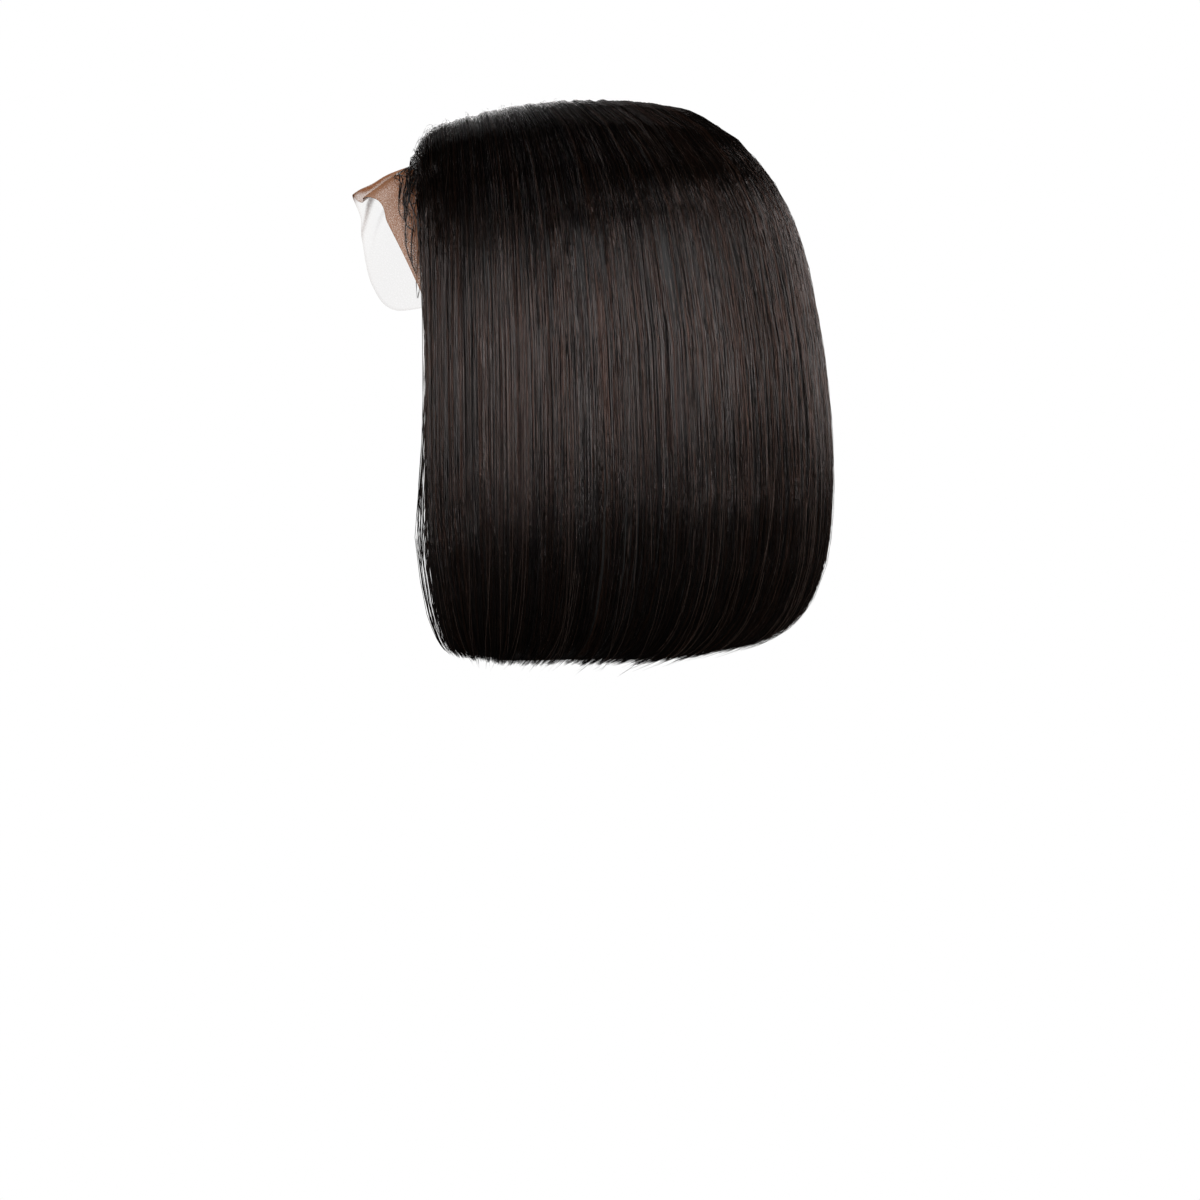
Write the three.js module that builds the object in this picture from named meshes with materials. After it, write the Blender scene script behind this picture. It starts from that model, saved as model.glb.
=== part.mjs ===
// A lace-front bob wig of straight hair with a middle parting.
// Millimetres, +Z up. The wearer's face looks along -Y and the wearer's left side is at +X.
// The origin is on the inside of the cover, where the top of the head carries it.
import * as THREE from 'three';

// The head that the wig fits.
const HEAD_HALF_WIDTH = 76;
const HEAD_WIDEST_Y = -10;
const HEAD_FRONT_REACH = 110;
const HEAD_BACK_REACH = 96;
const CAP_DEPTH = 165;

// The parting runs back along the top of the head from the hairline to the crown.
const PARTING_FRONT_Y = -97;
const PARTING_BACK_Y = 43;
const PARTING_FRONT_DROP = 28;
const PARTING_BACK_DROP = 5.5;
const PARTING_HALF_GAP = 1.5;

// Cloth walls, the gap between pieces side by side, measured along the parting, and the room
// between the cap and the hair.
const CAP_WALL = 1.5;
const LACE_WALL = 1;
const SEAM_GAP = 0.45;
const CAP_ROOM = 1.2;

// How deep the hair lies, how far it stands out lower down and where its ends are.
const ROOT_DEPTH = 5.2;
const FRONT_LIFT = 12.5;
const SIDE_DEPTH = 15;
const BACK_DEPTH = 23;
const FRONT_DEPTH = 6;
const SIDE_FLARE = 8.5;
const BACK_FLARE = 12.5;
const FRONT_TUCK = 20;
const SIDE_HEM_Z = -292;
const FRONT_HEM_Z = -289;
const BACK_HEM_Z = -281;
const LOCK_GROOVE = 1.8;
const LOCK_STEP = 2.4;

// The loose margin of lace in front of the hairline.
const LACE_SPREAD = 46.5;
const LACE_REACH = 34;
const LACE_DROP = 72;
const LACE_BULGE = 1.5;
const LACE_FOLD = 3.2;

// A strand is known by its share: 0 is the front edge of the hair and 1 the middle of the back.
const FRONT_ANGLE = THREE.MathUtils.degToRad(41);
const CROWN_SHARE = 0.84;
const SEAM_SHARE = 0.5;
const FRONT_SHARE = 0.3;
const PARTING_FRONT_BOW = 2.74;
const PARTING_BACK_BOW = 2.2;
const LIFT_BOW = 4;

// The head under a strand: how deep it is below the parting, as a share of CAP_DEPTH, and how
// far out it has come, as shares of the way to the side and to the back.
const HEAD_FORM = [
  { depth: 0.0, side: 0.0, back: 0.0 },
  { depth: 0.007, side: 0.14, back: 0.05 },
  { depth: 0.02, side: 0.25, back: 0.13 },
  { depth: 0.05, side: 0.4, back: 0.31 },
  { depth: 0.105, side: 0.56, back: 0.53 },
  { depth: 0.175, side: 0.7, back: 0.72 },
  { depth: 0.26, side: 0.82, back: 0.86 },
  { depth: 0.37, side: 0.91, back: 0.955 },
  { depth: 0.49, side: 0.97, back: 1.0 },
  { depth: 0.62, side: 1.0, back: 1.0 },
  { depth: 0.8, side: 0.97, back: 0.9 },
  { depth: 1.0, side: 0.86, back: 0.72 },
];

// The hair, section by section from the parting down to the ends: fall is a share of the strand's
// height, lift of its height over the head at the root, side and back of the way out, tuck of
// FRONT_TUCK, groove of LOCK_GROOVE and deep of the depth of the hanging hair. Its inside lies on
// the cap where hang is 0 and hangs free where it is 1.
const HAIR_FORM = [
  { fall: 0.0, lift: 0.25, side: 0.0, back: 0.0, tuck: 0.0, groove: 0.0, hang: 0.0, deep: 1.0 },
  { fall: 0.009, lift: 0.95, side: 0.12, back: 0.058, tuck: 0.0, groove: 0.5, hang: 0.0, deep: 1.0 },
  { fall: 0.024, lift: 1.0, side: 0.27, back: 0.157, tuck: 0.0, groove: 0.6, hang: 0.0, deep: 1.0 },
  { fall: 0.057, lift: 1.0, side: 0.475, back: 0.353, tuck: 0.0, groove: 0.6, hang: 0.0, deep: 1.0 },
  { fall: 0.115, lift: 1.0, side: 0.68, back: 0.549, tuck: 0.0, groove: 0.6, hang: 0.0, deep: 1.0 },
  { fall: 0.158, lift: 1.0, side: 0.775, back: 0.647, tuck: 0.0, groove: 0.6, hang: 0.0, deep: 1.0 },
  { fall: 0.212, lift: 1.0, side: 0.85, back: 0.746, tuck: 0.0, groove: 0.6, hang: 0.0, deep: 1.0 },
  { fall: 0.302, lift: 1.0, side: 0.915, back: 0.843, tuck: 0.0, groove: 0.6, hang: 0.3, deep: 1.0 },
  { fall: 0.459, lift: 1.0, side: 0.965, back: 0.942, tuck: 0.0, groove: 0.7, hang: 1.0, deep: 1.0 },
  { fall: 0.611, lift: 1.0, side: 0.99, back: 0.994, tuck: 0.0, groove: 0.8, hang: 1.0, deep: 1.0 },
  { fall: 0.72, lift: 1.0, side: 1.0, back: 1.0, tuck: 0.02, groove: 0.9, hang: 1.0, deep: 1.0 },
  { fall: 0.8, lift: 1.0, side: 0.995, back: 0.98, tuck: 0.1, groove: 1.0, hang: 1.0, deep: 0.97 },
  { fall: 0.858, lift: 1.0, side: 0.982, back: 0.942, tuck: 0.21, groove: 1.0, hang: 1.0, deep: 0.9 },
  { fall: 0.918, lift: 1.0, side: 0.955, back: 0.857, tuck: 0.37, groove: 1.0, hang: 1.0, deep: 0.78 },
  { fall: 0.95, lift: 1.0, side: 0.93, back: 0.775, tuck: 0.52, groove: 1.0, hang: 1.0, deep: 0.68 },
  { fall: 0.972, lift: 1.0, side: 0.905, back: 0.69, tuck: 0.66, groove: 1.0, hang: 1.0, deep: 0.58 },
  { fall: 0.987, lift: 1.0, side: 0.88, back: 0.59, tuck: 0.8, groove: 1.0, hang: 1.0, deep: 0.5 },
  { fall: 1.0, lift: 1.0, side: 0.85, back: 0.44, tuck: 1.0, groove: 1.0, hang: 1.0, deep: 0.42 },
];

// Locks, in order from the front edge or from the seam to the back: width is a share of the
// mean lock, proud of the groove's depth and low of the step between the ends.
const LOCKS = [
  { width: 0.7, proud: 0.5, low: -0.6 },
  { width: 0.9, proud: 0.8, low: 0.1 },
  { width: 1.1, proud: 1.0, low: 0.5 },
  { width: 0.8, proud: 0.6, low: -0.1 },
  { width: 1.2, proud: 0.9, low: 0.7 },
  { width: 1.0, proud: 0.7, low: 0.2 },
  { width: 1.3, proud: 1.0, low: 0.6 },
  { width: 0.8, proud: 0.6, low: -0.2 },
  { width: 1.1, proud: 0.9, low: 0.5 },
  { width: 1.0, proud: 0.8, low: 0.0 },
  { width: 1.2, proud: 1.0, low: 0.4 },
  { width: 0.9, proud: 0.7, low: 0.1 },
];

// How full the hair is at its front edge, as a share of its depth further back.
const EDGE_FULLNESS = [
  { share: 0.0, full: 0.35 },
  { share: 0.015, full: 0.65 },
  { share: 0.035, full: 0.88 },
  { share: 0.07, full: 1.0 },
  { share: 1.0, full: 1.0 },
];

// Where the lace and the cap end below the parting, as a share of CAP_DEPTH.
const COVER_EDGE = [
  { share: 0.0, depth: 0.3 },
  { share: 0.06, depth: 0.42 },
  { share: 0.13, depth: 0.6 },
  { share: 0.21, depth: 0.64 },
  { share: 0.32, depth: 0.6 },
  { share: 0.5, depth: 0.64 },
  { share: 0.65, depth: 0.78 },
  { share: 0.8, depth: 0.93 },
  { share: 1.0, depth: 0.98 },
];

// The free edge of the lace from the right temple (across -1) over the forehead to the left
// temple: shares of LACE_SPREAD, LACE_REACH and LACE_DROP from the front of the parting.
const LACE_EDGE = [
  { across: -1.0, side: -1.0, reach: -0.1, drop: 1.0 },
  { across: -0.8, side: -0.9, reach: 0.45, drop: 1.02 },
  { across: -0.6, side: -0.62, reach: 0.76, drop: 0.86 },
  { across: -0.35, side: -0.33, reach: 0.86, drop: 0.56 },
  { across: -0.12, side: -0.11, reach: 0.97, drop: 0.28 },
  { across: 0.08, side: 0.07, reach: 0.95, drop: 0.22 },
  { across: 0.3, side: 0.27, reach: 0.62, drop: 0.27 },
  { across: 0.5, side: 0.53, reach: 0.43, drop: 0.45 },
  { across: 0.75, side: 0.84, reach: 0.16, drop: 0.7 },
  { across: 1.0, side: 1.0, reach: -0.1, drop: 1.0 },
];

// Crumples of the margin: where each one runs, its half-width and its height as a share of
// LACE_FOLD.
const LACE_FOLDS = [
  { across: -0.62, spread: 0.14, height: -0.2 },
  { across: -0.4, spread: 0.12, height: 0.2 },
  { across: -0.22, spread: 0.1, height: -0.3 },
  { across: -0.06, spread: 0.1, height: 0.1 },
  { across: 0.1, spread: 0.1, height: -0.7 },
  { across: 0.24, spread: 0.1, height: 0.5 },
  { across: 0.4, spread: 0.12, height: -0.4 },
];

// How finely the cloth is faceted, how near the points lie that a surface's slope is taken from,
// and the smallest distance between two points of a wall.
const LACE_COLUMNS = 32;
const LACE_PANEL_ROWS = 6;
const LACE_MARGIN_ROWS = 6;
const CAP_COLUMNS = 28;
const CAP_ROWS = 9;
const NEARBY = 0.01;
const WELD = 0.001;

const HAIR_INSET = CAP_WALL + CAP_ROOM;
const HAIR_HALF_WIDTH = HEAD_HALF_WIDTH + HAIR_INSET + SIDE_DEPTH + SIDE_FLARE;
const HAIR_BACK_REACH = HEAD_BACK_REACH + HAIR_INSET + BACK_DEPTH + BACK_FLARE;
const HALF_SEAM = (SEAM_GAP * CROWN_SHARE) / (PARTING_BACK_Y - PARTING_FRONT_Y) / 2;
const { clamp, lerp, smoothstep } = THREE.MathUtils;

// A column of a table, read between its rows.
function read(table, key, at, column) {
  let row = 1;
  while (row < table.length - 1 && table[row][key] < at) row += 1;
  const [low, high] = [table[row - 1], table[row]];
  const share = clamp((at - low[key]) / (high[key] - low[key]), 0, 1);
  return lerp(low[column], high[column], share);
}

// Row and column counts, evenly spread from one value to another.
const spread = (from, to, steps) =>
  Array.from({ length: steps + 1 }, (_, i) => lerp(from, to, i / steps));

const mirrored = (point) => new THREE.Vector3(-point.x, point.y, point.z);

// The root of a strand on the parting. All strands behind the crown start at the crown.
function rootOf(share) {
  const y = lerp(PARTING_FRONT_Y, PARTING_BACK_Y, Math.min(share / CROWN_SHARE, 1));
  const z =
    y < 0
      ? -PARTING_FRONT_DROP * (y / PARTING_FRONT_Y) ** PARTING_FRONT_BOW
      : -PARTING_BACK_DROP * (y / PARTING_BACK_Y) ** PARTING_BACK_BOW;
  return new THREE.Vector3(0, y, z);
}

// The unit vector out of the parting at the root of a strand.
function rootOut(share) {
  const along = Math.min(share, CROWN_SHARE);
  const back = rootOf(along).sub(rootOf(along - NEARBY));
  return new THREE.Vector3(0, -back.z, back.y).normalize();
}

// The way that a strand falls, seen from above: an angle from straight ahead.
const angleOf = (share) => lerp(FRONT_ANGLE, Math.PI, share);

function fallY(angle, backReach) {
  const reach = angle < Math.PI / 2 ? HEAD_FRONT_REACH : backReach;
  return HEAD_WIDEST_Y - reach * Math.cos(angle);
}

// A point of the head under a strand of the left side, at a share of CAP_DEPTH.
function headPoint(share, depth) {
  const root = rootOf(share);
  const angle = angleOf(share);
  return new THREE.Vector3(
    HEAD_HALF_WIDTH * read(HEAD_FORM, 'depth', depth, 'side') * Math.sin(angle),
    lerp(root.y, fallY(angle, HEAD_BACK_REACH), read(HEAD_FORM, 'depth', depth, 'back')),
    root.z - depth * CAP_DEPTH,
  );
}

function hemZ(share) {
  const side = lerp(FRONT_HEM_Z, SIDE_HEM_Z, smoothstep(share, 0, FRONT_SHARE));
  return lerp(side, BACK_HEM_Z, smoothstep(share, SEAM_SHARE, 1));
}

// How deep the hair lies at the parting, most of all at the hairline.
function rootDepth(root) {
  const front = Math.max(root.y / PARTING_FRONT_Y, 0);
  return ROOT_DEPTH + FRONT_LIFT * front ** LIFT_BOW;
}

// How open the parting is at a strand: it closes at the crown.
const parted = (share) => 1 - Math.min(share / CROWN_SHARE, 1) ** LIFT_BOW;

// A point on the smooth outside of the hair of the left side.
function hairPoint(share, section, hem) {
  const root = rootOf(share);
  const angle = angleOf(share);
  const lift = lerp(1, section.lift, parted(share));
  const top = root.z + HAIR_INSET + rootDepth(root) * lift;
  const tuck = FRONT_TUCK * section.tuck * (1 - smoothstep(share, 0, FRONT_SHARE));
  return new THREE.Vector3(
    Math.max(HAIR_HALF_WIDTH * section.side * Math.sin(angle), PARTING_HALF_GAP * parted(share)),
    lerp(root.y, fallY(angle, HAIR_BACK_REACH), section.back) + tuck,
    lerp(top, hem, section.fall),
  );
}

// How deep the hanging hair is.
function hangDepth(share) {
  const side = lerp(FRONT_DEPTH, SIDE_DEPTH, smoothstep(share, 0, FRONT_SHARE / 2));
  return lerp(side, BACK_DEPTH, smoothstep(share, SEAM_SHARE, 1));
}

// The unit vector out of a surface, from the ways down and back along it at a point.
function outOf(point, down, back) {
  const out = down.cross(back);
  if (Math.abs(point.x) < WELD) out.x = 0;
  return out.normalize();
}

// The unit vector out of the head under a strand.
function headOut(share, depth) {
  if (depth < WELD) return rootOut(share);
  const down = headPoint(share, depth + NEARBY).sub(headPoint(share, depth - NEARBY));
  const back = headPoint(share + NEARBY, depth).sub(headPoint(share - NEARBY, depth));
  return outOf(headPoint(share, depth), down, back);
}

// The unit vector out of the smooth outside of the hair.
function hairOut(share, row) {
  if (row === 0) return rootOut(share);
  const at = (strand, section) => hairPoint(strand, HAIR_FORM[section], hemZ(strand));
  const last = HAIR_FORM.length - 1;
  const down = at(share, Math.min(row + 1, last)).sub(at(share, row - 1));
  const back = at(share + NEARBY, row).sub(at(share - NEARBY, row));
  return outOf(at(share, row), down, back);
}

// A point of the head under a strand, at a height over the head.
const overHead = (share, depth, height) =>
  headPoint(share, depth).addScaledVector(headOut(share, depth), height);

const withRightSide = (grid) =>
  grid.map((points) => [...points, ...points.slice(0, -1).reverse().map(mirrored)]);

// Turns the faces of closed geometry to point out.
function faceOut(solid) {
  const index = solid.getIndex();
  const position = solid.getAttribute('position');
  const corner = (i) => new THREE.Vector3().fromBufferAttribute(position, index.getX(i));
  let volume = 0;
  for (let i = 0; i < index.count; i += 3) {
    volume += corner(i).dot(corner(i + 1).cross(corner(i + 2)));
  }
  if (volume < 0) solid.setIndex([...index.array].reverse());
}

// The closed wall between two grids of points. Points that coincide become one, and every edge
// that is left open gets a rim.
function wallBetween(outerGrid, innerGrid) {
  const positions = [];
  const seen = new Map();
  const weld = (point) => {
    const key = point.toArray().map((value) => Math.round(value / WELD)).join();
    if (!seen.has(key)) {
      seen.set(key, positions.length / 3);
      positions.push(...point.toArray());
    }
    return seen.get(key);
  };
  const outer = outerGrid.map((points) => points.map(weld));
  const inner = innerGrid.map((points) => points.map(weld));
  const triangles = [];
  const openEdges = new Map();
  const addFace = (corners, partners) => {
    if (new Set(corners).size < 3) return;
    triangles.push(corners, [...partners].reverse());
    corners.forEach((from, i) => {
      const next = (i + 1) % 3;
      const to = corners[next];
      if (!openEdges.delete(`${to},${from}`)) {
        openEdges.set(`${from},${to}`, [from, to, partners[next], partners[i]]);
      }
    });
  };
  for (let row = 0; row < outer.length - 1; row += 1) {
    for (let column = 0; column < outer[0].length - 1; column += 1) {
      const around = (grid) => [
        grid[row][column],
        grid[row + 1][column],
        grid[row + 1][column + 1],
        grid[row][column + 1],
      ];
      const [a, b, c, d] = around(outer);
      const [e, f, g, h] = around(inner);
      addFace([a, b, c], [e, f, g]);
      addFace([a, c, d], [e, g, h]);
    }
  }
  openEdges.forEach(([from, to, innerTo, innerFrom]) => {
    // Walls side by side are split alike: from the lower outer corner to the upper inner one.
    if (positions[3 * to + 2] < positions[3 * from + 2]) {
      triangles.push([to, from, innerFrom], [to, innerFrom, innerTo]);
    } else {
      triangles.push([to, from, innerTo], [from, innerFrom, innerTo]);
    }
  });
  const solid = new THREE.BufferGeometry();
  solid.setAttribute('position', new THREE.Float32BufferAttribute(positions, 3));
  solid.setIndex(triangles.filter((corners) => new Set(corners).size === 3).flat());
  faceOut(solid);
  solid.computeVertexNormals();
  return solid;
}

// The strands at the grooves and crests of the locks between two shares.
function lockColumns(from, to) {
  const mean = (to - from) / LOCKS.reduce((sum, { width }) => sum + width, 0);
  const columns = [{ share: from, proud: 0, low: 0 }];
  LOCKS.forEach(({ width, proud, low }) => {
    const { share } = columns.at(-1);
    const reach = mean * width;
    columns.push({ share: share + reach / 2, proud, low });
    columns.push({ share: share + reach, proud: 0, low: 0 });
  });
  return columns;
}

// The outer and inner grids of the hair of the left side between two strands.
function hairGrids(from, to) {
  const columns = lockColumns(from, to);
  const inner = HAIR_FORM.map((section, row) =>
    columns.map(({ share, low }) => {
      const depth = (section.fall * (rootOf(share).z - hemZ(share))) / CAP_DEPTH;
      const lying = overHead(share, Math.min(depth, 1), HAIR_INSET);
      const point = hairPoint(share, section, hemZ(share) - LOCK_STEP * low)
        .addScaledVector(hairOut(share, row), -hangDepth(share) * section.deep)
        .lerp(lying, 1 - section.hang);
      point.x = Math.max(point.x, row === 0 ? PARTING_HALF_GAP * parted(share) : 0);
      return point;
    }),
  );
  const outer = HAIR_FORM.map((section, row) =>
    columns.map(({ share, proud, low }, column) => {
      const groove = LOCK_GROOVE * section.groove * (1 - proud);
      const full = read(EDGE_FULLNESS, 'share', share, 'full');
      return hairPoint(share, section, hemZ(share) - LOCK_STEP * low)
        .addScaledVector(hairOut(share, row), -groove)
        .lerp(inner[row][column], 1 - full);
    }),
  );
  return { outer, inner };
}

function sideHair(mirror) {
  const { outer, inner } = hairGrids(0, SEAM_SHARE - HALF_SEAM);
  const placed = (grid) => (mirror ? grid.map((points) => points.map(mirrored)) : grid);
  return wallBetween(placed(outer), placed(inner));
}

function backHair() {
  const { outer, inner } = hairGrids(SEAM_SHARE + HALF_SEAM, 1);
  return wallBetween(withRightSide(outer), withRightSide(inner));
}

const coverDepth = (share) => read(COVER_EDGE, 'share', share, 'depth');

// The net cap behind the lace, over the back of the head down to the nape.
function cap() {
  const shares = spread(SEAM_SHARE + HALF_SEAM, 1, CAP_COLUMNS / 2);
  const grid = (height) =>
    spread(0, 1, CAP_ROWS).map((down) =>
      shares.map((share) => overHead(share, down ** 2 * coverDepth(share), height)),
    );
  return wallBetween(withRightSide(grid(CAP_WALL)), withRightSide(grid(0)));
}

// A point of the lace that lies on the head, at a height over it.
function lacePanelPoint(share, across, height) {
  const point = overHead(share, across ** 2 * coverDepth(share), height);
  return across < 0 ? mirrored(point) : point;
}

// How high the crumples of the margin stand.
function crumple(across) {
  return LACE_FOLDS.reduce((sum, fold) => {
    const away = Math.min(Math.abs(across - fold.across) / fold.spread, 1);
    return sum + fold.height * (1 - smoothstep(away, 0, 1));
  }, 0);
}

// A point of the loose margin, at a share of the way from the hairline to the free edge.
function laceMarginPoint(ahead, across, height) {
  const hairline = lacePanelPoint(0, across, 0);
  const edge = new THREE.Vector3(
    LACE_SPREAD * read(LACE_EDGE, 'across', across, 'side'),
    PARTING_FRONT_Y - LACE_REACH * read(LACE_EDGE, 'across', across, 'reach'),
    -PARTING_FRONT_DROP - LACE_DROP * read(LACE_EDGE, 'across', across, 'drop'),
  );
  const point = hairline.lerp(edge, ahead);
  const middle = new THREE.Vector3(0, HEAD_WIDEST_Y, -CAP_DEPTH / 2);
  const out = point.clone().sub(middle).normalize();
  const bulge = LACE_BULGE * 4 * ahead * (1 - ahead) * (1 - across ** 2);
  return point.addScaledVector(out, height + bulge + LACE_FOLD * ahead * crumple(across));
}

// The sheer lace: a panel from ear to ear and a loose margin in front of the hairline.
function laceFront() {
  const columns = spread(-1, 1, LACE_COLUMNS);
  const grid = (height) => [
    ...spread(SEAM_SHARE - HALF_SEAM, 0, LACE_PANEL_ROWS).map((share) =>
      columns.map((across) => lacePanelPoint(share, across, height)),
    ),
    ...spread(1 / LACE_MARGIN_ROWS, 1, LACE_MARGIN_ROWS - 1).map((ahead) =>
      columns.map((across) => laceMarginPoint(ahead, across, height)),
    ),
  ];
  return wallBetween(grid(LACE_WALL), grid(0));
}

const hairMaterial = new THREE.MeshStandardMaterial({ color: 0x1d1917, roughness: 0.42 });
const laceMaterial = new THREE.MeshStandardMaterial({ color: 0xb88b6c, roughness: 0.85 });
const capMaterial = new THREE.MeshStandardMaterial({ color: 0x1a1512, roughness: 0.9 });

const wig = new THREE.Group();
const addPiece = (name, geometry, material) => {
  const piece = new THREE.Mesh(geometry, material);
  piece.name = name;
  wig.add(piece);
};
addPiece('lace_front', laceFront(), laceMaterial);
addPiece('cap', cap(), capMaterial);
addPiece('side_hair_left', sideHair(false), hairMaterial);
addPiece('side_hair_right', sideHair(true), hairMaterial);
addPiece('back_hair', backHair(), hairMaterial);

export default wig;
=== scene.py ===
# The looks of a lace-front bob wig of straight hair with a middle parting.
# Metres, +Z up. The wearer's face looks along -Y and the wearer's left side is at +X.
import bpy
import numpy as np
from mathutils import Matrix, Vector

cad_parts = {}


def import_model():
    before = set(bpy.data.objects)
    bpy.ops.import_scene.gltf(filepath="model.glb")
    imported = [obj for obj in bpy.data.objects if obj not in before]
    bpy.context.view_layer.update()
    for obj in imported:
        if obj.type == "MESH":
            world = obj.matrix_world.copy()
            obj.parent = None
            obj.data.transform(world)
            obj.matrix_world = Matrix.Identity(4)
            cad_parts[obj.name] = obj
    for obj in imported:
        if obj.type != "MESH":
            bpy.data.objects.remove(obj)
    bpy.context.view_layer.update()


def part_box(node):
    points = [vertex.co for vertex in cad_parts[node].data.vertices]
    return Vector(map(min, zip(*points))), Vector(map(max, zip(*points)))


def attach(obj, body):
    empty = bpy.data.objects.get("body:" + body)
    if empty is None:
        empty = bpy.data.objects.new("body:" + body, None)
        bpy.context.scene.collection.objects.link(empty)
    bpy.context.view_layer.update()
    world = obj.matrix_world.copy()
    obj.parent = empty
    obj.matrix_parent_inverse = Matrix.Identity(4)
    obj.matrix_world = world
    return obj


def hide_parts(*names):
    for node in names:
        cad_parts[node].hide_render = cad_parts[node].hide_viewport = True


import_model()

MM = 0.001
_, side_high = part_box("side_hair_left")
_, back_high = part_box("back_hair")

# The head that the wig fits.
HEAD_HALF_WIDTH = 76 * MM
HEAD_WIDEST_Y = -10 * MM
HEAD_FRONT_REACH = 110 * MM
HEAD_BACK_REACH = 96 * MM
CAP_DEPTH = 165 * MM
HEAD_MIDDLE = np.array([0, HEAD_WIDEST_Y, -CAP_DEPTH / 2])

# The parting, from the hairline back to the crown.
PARTING_FRONT_Y = -97 * MM
PARTING_BACK_Y = 43 * MM
PARTING_FRONT_DROP = 28 * MM
PARTING_BACK_DROP = 5.5 * MM
PARTING_HALF_GAP = 1.5 * MM

# How deep the hair lies, how far it stands out lower down and where its ends are.
HAIR_INSET = 2.7 * MM
ROOT_DEPTH = 5.2 * MM
FRONT_LIFT = 12.5 * MM
SIDE_DEPTH = 15 * MM
BACK_DEPTH = 23 * MM
FRONT_DEPTH = 6 * MM
FRONT_TUCK = 20 * MM
HAIR_HALF_WIDTH = side_high[0]
HAIR_BACK_REACH = back_high[1] - HEAD_WIDEST_Y
SIDE_HEM_Z = -292 * MM
FRONT_HEM_Z = -289 * MM
BACK_HEM_Z = -281 * MM

# The loose margin of lace in front of the hairline.
LACE_SPREAD = 46.5 * MM
LACE_REACH = 34 * MM
LACE_DROP = 72 * MM
LACE_BULGE = 1.5 * MM
LACE_FOLD = 3.2 * MM

# The nets of the cap and the lace: how high they lie over the head and how thick they are. The
# hairline is at this share of the lace's grid, which runs from the cap to the free edge.
NET_HEIGHT = 0.5 * MM
CAP_WALL = 0.8 * MM
LACE_WALL = 0.3 * MM
HAIRLINE = 0.3

# How full the net of the lace looks on the head.
PANEL_COVER = 0.85

# A strand is known by its share: 0 is the front edge of the hair and 1 the middle of the back.
FRONT_ANGLE = np.radians(41)
CROWN_SHARE = 0.84
SEAM_SHARE = 0.5
HALF_SEAM = 0.0013
FRONT_SHARE = 0.3

# The front edge runs up to EDGE and fades out up to EDGE_GAPS. Its strands reach forward by up to
# EDGE_SPREAD and draw together in uneven locks, which part along the shares of their length in
# OPENING.
EDGE = 0.028
EDGE_GAPS = 0.07
EDGE_LOCKS = np.array(
    [-0.062, -0.049, -0.04, -0.031, -0.025, -0.015, -0.009, 0.001]
    + [0.006, 0.015, 0.02, 0.031, 0.04, 0.051, 0.064]
)
EDGE_SPREAD = 0.07
OPENING = (0.47, 0.63)

# Elsewhere the strands lie in clumps this wide, and this part of all strands stray from them.
CLUMP = 0.009
STRAYS = 0.045

# The powers by which the parting falls to its front and to its back, and by which the hair rises
# at the front of the parting and closes over its back.
PARTING_FRONT_BOW = 2.74
PARTING_BACK_BOW = 2.2
LIFT_BOW = 4


def named(columns, *rows):
    """A table: one array for each named column."""
    return dict(zip(columns.split(), np.array(rows, float).T))


# The head under a strand: how deep it is below the parting, as a share of CAP_DEPTH, and how far
# out it has come, as shares of the way to the side and to the back.
HEAD_FORM = named(
    "depth side back",
    (0.0, 0.0, 0.0),
    (0.007, 0.14, 0.05),
    (0.02, 0.25, 0.13),
    (0.05, 0.4, 0.31),
    (0.105, 0.56, 0.53),
    (0.175, 0.7, 0.72),
    (0.26, 0.82, 0.86),
    (0.37, 0.91, 0.955),
    (0.49, 0.97, 1.0),
    (0.62, 1.0, 1.0),
    (0.8, 0.97, 0.9),
    (1.0, 0.86, 0.72),
)

# The hair from the parting down to the ends: shares of its height, of its lift at the root, of
# the way out to the side and the back, of FRONT_TUCK and of its depth. Its inside lies on the
# cap where hang is 0 and hangs free where it is 1.
HAIR_FORM = named(
    "fall lift side back tuck hang deep",
    (0.0, 0.25, 0.0, 0.0, 0.0, 0.0, 1.0),
    (0.009, 0.95, 0.12, 0.058, 0.0, 0.0, 1.0),
    (0.024, 1.0, 0.27, 0.157, 0.0, 0.0, 1.0),
    (0.057, 1.0, 0.475, 0.353, 0.0, 0.0, 1.0),
    (0.115, 1.0, 0.68, 0.549, 0.0, 0.0, 1.0),
    (0.158, 1.0, 0.775, 0.647, 0.0, 0.0, 1.0),
    (0.212, 1.0, 0.85, 0.746, 0.0, 0.0, 1.0),
    (0.302, 1.0, 0.915, 0.843, 0.0, 0.3, 1.0),
    (0.459, 1.0, 0.965, 0.942, 0.0, 1.0, 1.0),
    (0.611, 1.0, 0.99, 0.994, 0.0, 1.0, 1.0),
    (0.72, 1.0, 1.0, 1.0, 0.02, 1.0, 1.0),
    (0.8, 1.0, 0.995, 0.98, 0.1, 1.0, 0.97),
    (0.858, 1.0, 0.982, 0.942, 0.21, 1.0, 0.9),
    (0.918, 1.0, 0.955, 0.857, 0.37, 1.0, 0.78),
    (0.95, 1.0, 0.93, 0.775, 0.52, 1.0, 0.68),
    (0.972, 1.0, 0.905, 0.69, 0.66, 1.0, 0.58),
    (0.987, 1.0, 0.88, 0.59, 0.8, 1.0, 0.5),
    (1.0, 1.0, 0.85, 0.44, 1.0, 1.0, 0.42),
)
ENDS = len(HAIR_FORM["fall"]) - 1.0

# How full the hair is at its front edge.
EDGE_FULLNESS = named("share full", (0.0, 0.35), (0.015, 0.65), (0.035, 0.88), (0.07, 1.0))

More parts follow.
